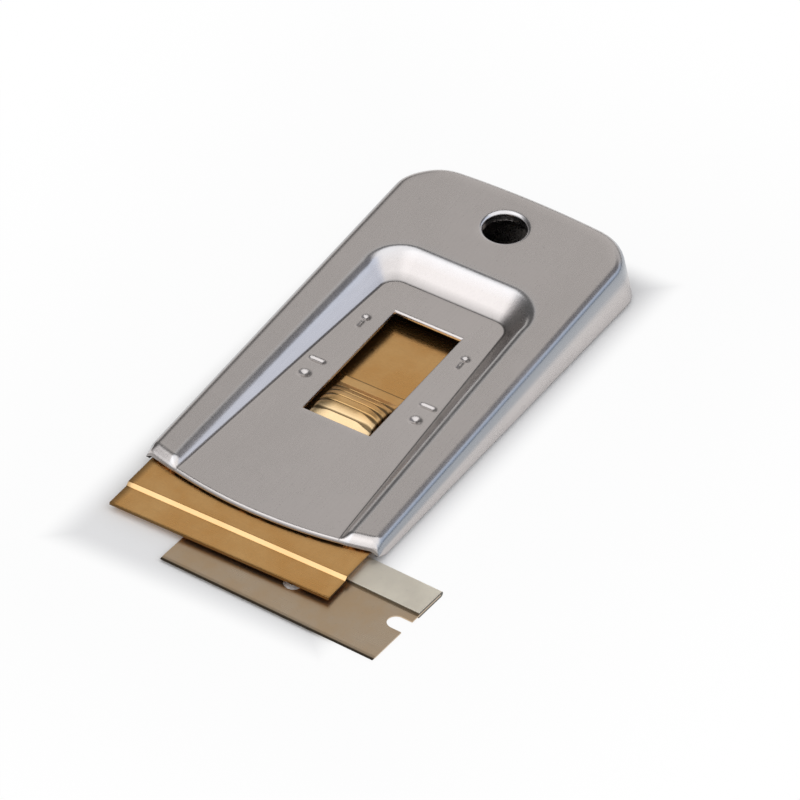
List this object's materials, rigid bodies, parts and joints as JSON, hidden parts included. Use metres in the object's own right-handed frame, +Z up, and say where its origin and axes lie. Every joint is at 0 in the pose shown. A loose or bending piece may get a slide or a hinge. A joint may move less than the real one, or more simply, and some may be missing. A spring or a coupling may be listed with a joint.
{
  "type": "razor blade scraper",
  "caption": "Flat wedge-shaped pocket scraper for single-edge razor blades: stamped steel handle with a hang hole, brass-plated thumb slide that carries the blade, and a loose blade.",
  "frame": {"origin": "middle of the tray's flat underside, the face that the scraper rests on", "axes": "+Z up out of the resting surface, -Y towards the blade end, +X to the right seen from the blade end"},
  "size_m": [0.0527, 0.0998, 0.0098],
  "materials": {
    "shell_steel": "satin tumbled",
    "tray_steel": "satin rolled",
    "slide_brass": "satin brass plating",
    "grip_brass": "bright brass plating",
    "spring_steel": "blued spring strip",
    "rivet_steel": "headed wire",
    "blade_steel": "ground strip with an oil film",
    "spine_steel": "satin folded strip"
  },
  "bodies": {
    "handle": {"top_shell": "shell_steel", "bottom_tray": "tray_steel"},
    "slide": {"slide_plate": "slide_brass", "thumb_grip": "grip_brass", "spring_left": "spring_steel", "spring_right": "spring_steel", "spring_rivet_left": "rivet_steel", "spring_rivet_right": "rivet_steel"},
    "loose_blade": {"blade_strip": "blade_steel", "blade_spine": "spine_steel"}
  },
  "joints": [
    {"name": "slide_travel", "type": "slide", "parent": "handle", "child": "slide", "axis": [0, 1, 0], "range_m": [0, 0.01635]},
    {"name": "loose_blade_slide", "type": "slide", "parent": "handle", "child": "loose_blade", "axis": [0, -1, 0], "range_m": [0, 0.03]}
  ]
}
